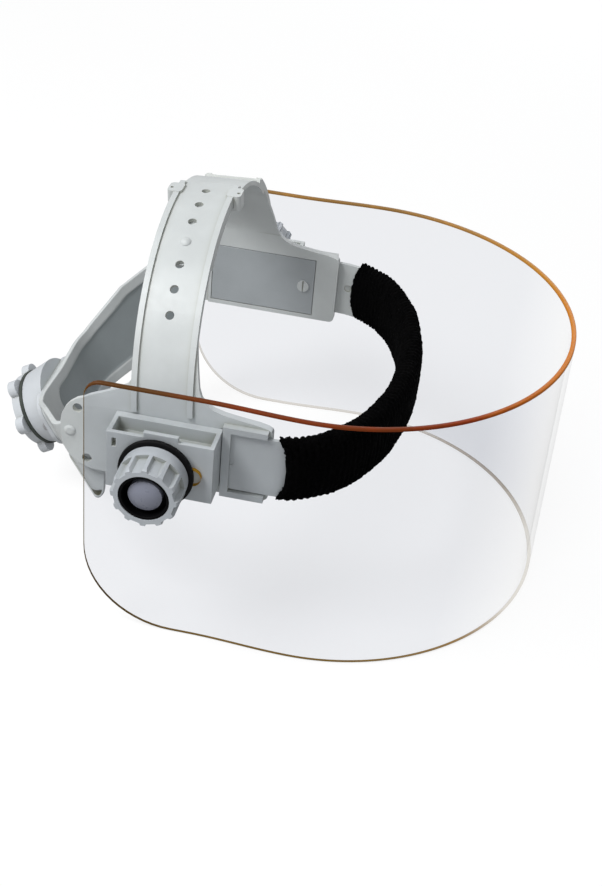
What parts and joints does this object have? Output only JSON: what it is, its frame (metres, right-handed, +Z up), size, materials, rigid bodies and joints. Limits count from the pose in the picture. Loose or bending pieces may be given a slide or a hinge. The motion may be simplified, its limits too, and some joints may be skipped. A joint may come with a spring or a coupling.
{
  "type": "face shield",
  "caption": "Wrap-around clear face shield on a plastic headgear with crown strap, terry sweatband, two fluted clamp knobs and a rear ratchet band.",
  "frame": {"origin": "middle of the whole shield at the level of the visor's bottom rim, on which it stands", "axes": "+Z up, -Y towards the front of the visor, +X towards the wearer's left"},
  "size_m": [0.2846, 0.3138, 0.2037],
  "materials": {
    "clear_visor": "clear, amber at the cut edges",
    "grey_moulding": "moulded nylon, satin",
    "shaded_panel": "moulded nylon, satin",
    "grey_knob": "moulded, satin",
    "knob_cap": "semi-gloss",
    "black_plastic": "matt",
    "black_rubber": "matt",
    "black_terry": "looped terry towelling",
    "bright_steel": "plated"
  },
  "bodies": {
    "headgear": {"right_side_frame": "grey_moulding", "left_side_frame": "grey_moulding", "crown_snap_peg": "grey_moulding", "front_strap": "grey_moulding", "sweatband": "black_terry", "right_strap_pin": "grey_moulding", "left_strap_pin": "grey_moulding", "right_inner_cover": "shaded_panel", "left_inner_cover": "shaded_panel", "right_pivot_block": "grey_moulding", "left_pivot_block": "grey_moulding", "right_clamp_stud": "bright_steel", "left_clamp_stud": "bright_steel", "right_friction_washer": "black_rubber", "left_friction_washer": "black_rubber"},
    "visor": {"visor": "clear_visor"},
    "right_knob": {"right_clamp_knob": "grey_knob", "right_knob_well": "black_plastic", "right_knob_cap": "knob_cap"},
    "left_knob": {"left_clamp_knob": "grey_knob", "left_knob_well": "black_plastic", "left_knob_cap": "knob_cap"},
    "rear_band": {"right_band_arm": "grey_moulding", "left_band_arm": "grey_moulding", "right_band_rivet": "grey_moulding", "left_band_rivet": "grey_moulding", "ratchet_base": "grey_moulding", "ratchet_cover": "grey_knob", "cover_screws": "bright_steel", "pawl_spring": "bright_steel"},
    "right_tail": {"right_toothed_tail": "grey_moulding"},
    "left_tail": {"left_toothed_tail": "grey_moulding"},
    "dial": {"ratchet_pinion": "black_plastic", "ratchet_wheel": "black_plastic", "ratchet_dial": "grey_knob", "dial_seal": "black_rubber", "dial_screw": "bright_steel"}
  },
  "joints": [
    {"name": "visor_tilt", "type": "hinge", "parent": "headgear", "child": "visor", "pos_m": [0, 0.03855, 0.103], "axis": [-1, 0, 0], "range_deg": [0, 80]},
    {"name": "right_knob_turn", "type": "hinge", "parent": "headgear", "child": "right_knob", "pos_m": [-0.13, 0.03855, 0.103], "axis": [-1, 0, 0], "range_deg": [0, 360]},
    {"name": "left_knob_turn", "type": "hinge", "parent": "headgear", "child": "left_knob", "pos_m": [0.13, 0.03855, 0.103], "axis": [1, 0, 0], "range_deg": [0, 360]},
    {"name": "rear_band_tilt", "type": "hinge", "parent": "headgear", "child": "rear_band", "pos_m": [0, 0.09055, 0.103], "axis": [1, 0, 0], "range_deg": [-12, 18]},
    {"name": "dial_turn", "type": "hinge", "parent": "rear_band", "child": "dial", "pos_m": [0, 0.07805, 0.08135], "axis": [0, -0.866, 0.5], "range_deg": [0, 90]},
    {"name": "right_tail_slide", "type": "slide", "parent": "rear_band", "child": "right_tail", "axis": [1, 0, 0], "range_m": [0, 0.0118]},
    {"name": "left_tail_slide", "type": "slide", "parent": "rear_band", "child": "left_tail", "axis": [-1, 0, 0], "range_m": [0, 0.0118]}
  ],
  "couplings": [
    {"joint": "right_tail_slide", "follows": "dial_turn", "m_per_rad": 0.0075},
    {"joint": "left_tail_slide", "follows": "dial_turn", "m_per_rad": 0.0075}
  ]
}
